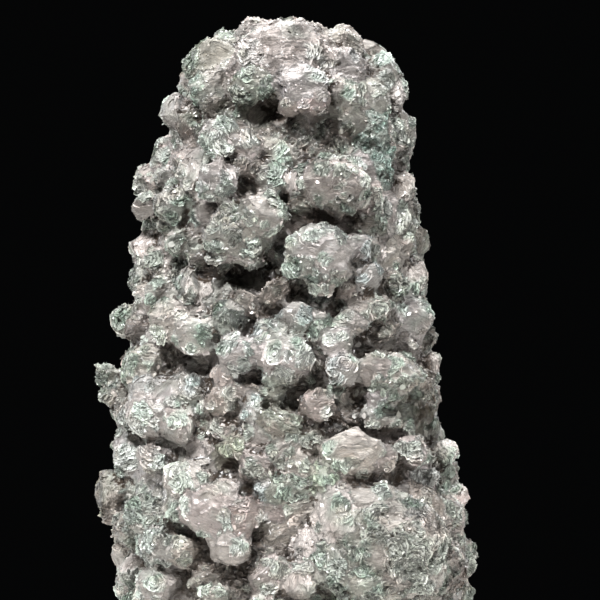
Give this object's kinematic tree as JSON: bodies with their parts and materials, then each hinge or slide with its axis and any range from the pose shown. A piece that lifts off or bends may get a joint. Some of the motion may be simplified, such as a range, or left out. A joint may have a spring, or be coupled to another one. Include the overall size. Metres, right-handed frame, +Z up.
{
  "type": "quartz floater",
  "caption": "Tapering quartz column that grew free on every side, crusted all over with rounded clusters of mica plates, silvery mauve with sage green, standing upright on its broad end.",
  "frame": {"origin": "on the standing plane, midway across the overall width and depth", "axes": "+Z up along the column to its blunt crown, -Y out of the show side, +X to the right of that side"},
  "size_m": [0.0964, 0.0916, 0.1599],
  "materials": {
    "mica_crust": "satin"
  },
  "bodies": {
    "root": {"quartz_floater": "mica_crust"}
  },
  "joints": []
}
